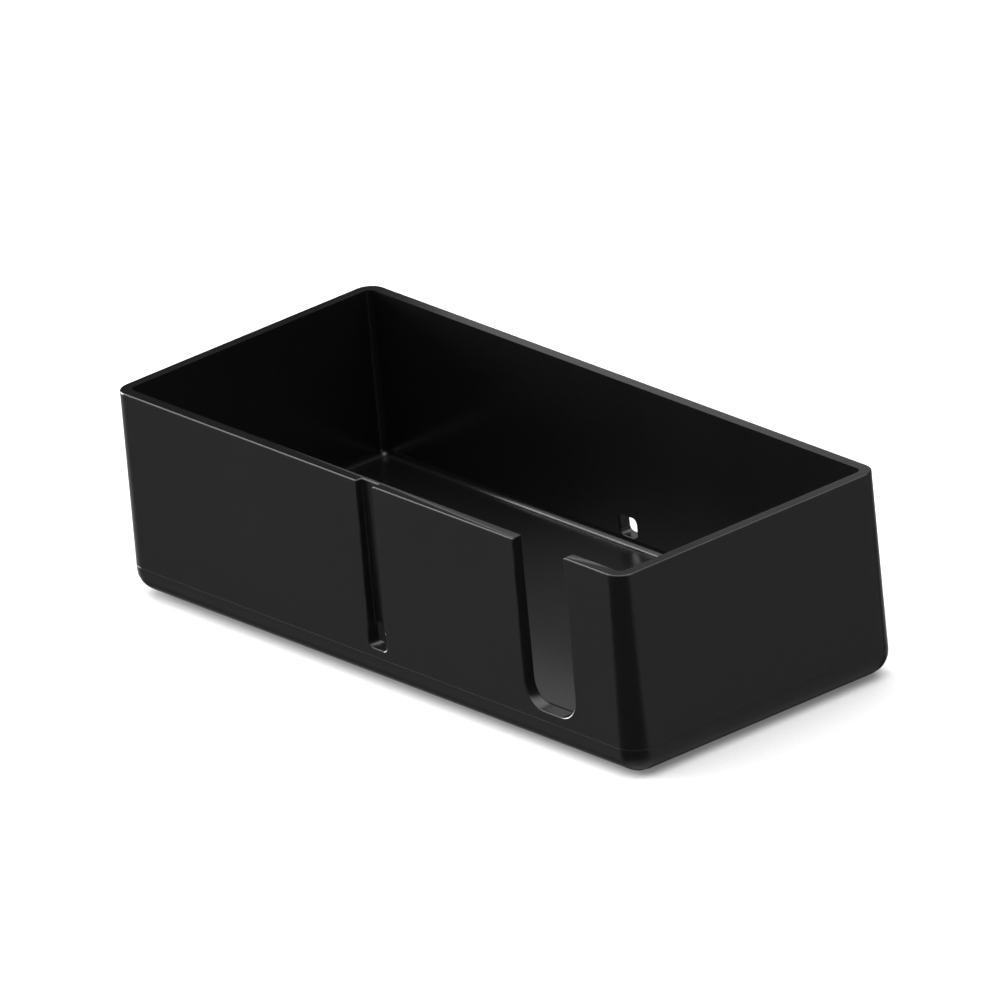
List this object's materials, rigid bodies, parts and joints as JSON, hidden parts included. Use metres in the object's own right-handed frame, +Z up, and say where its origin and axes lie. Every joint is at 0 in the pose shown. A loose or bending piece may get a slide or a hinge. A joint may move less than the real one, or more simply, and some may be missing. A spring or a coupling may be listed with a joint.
{
  "type": "coin display tray",
  "caption": "Open rectangular counter tray with a front cable groove, small cable holes, a U-shaped notch in the front wall and a closed base on soft feet.",
  "frame": {"origin": "middle of the footprint, on the surface that the feet stand on", "axes": "+X along the tray towards the end with the notch, -Y out of the front wall with the groove and notch, +Z up"},
  "size_m": [0.161, 0.0716, 0.0456],
  "materials": {
    "tray_plastic": "satin black moulded plastic with a very fine grain",
    "base_plastic": "satin black moulded plastic with a very fine grain",
    "ballast_steel": "plain cold rolled steel, lightly oiled",
    "screw_steel": "bright zinc plating",
    "foot_rubber": "dark grey soft rubber, matt"
  },
  "bodies": {
    "root": {"tray_body": "tray_plastic", "base_pan": "base_plastic", "ballast_plate": "ballast_steel", "base_screw_front_left": "screw_steel", "base_screw_front_right": "screw_steel", "base_screw_rear_left": "screw_steel", "base_screw_rear_right": "screw_steel", "foot_front_left": "foot_rubber", "foot_front_right": "foot_rubber", "foot_rear_left": "foot_rubber", "foot_rear_right": "foot_rubber"}
  },
  "joints": []
}
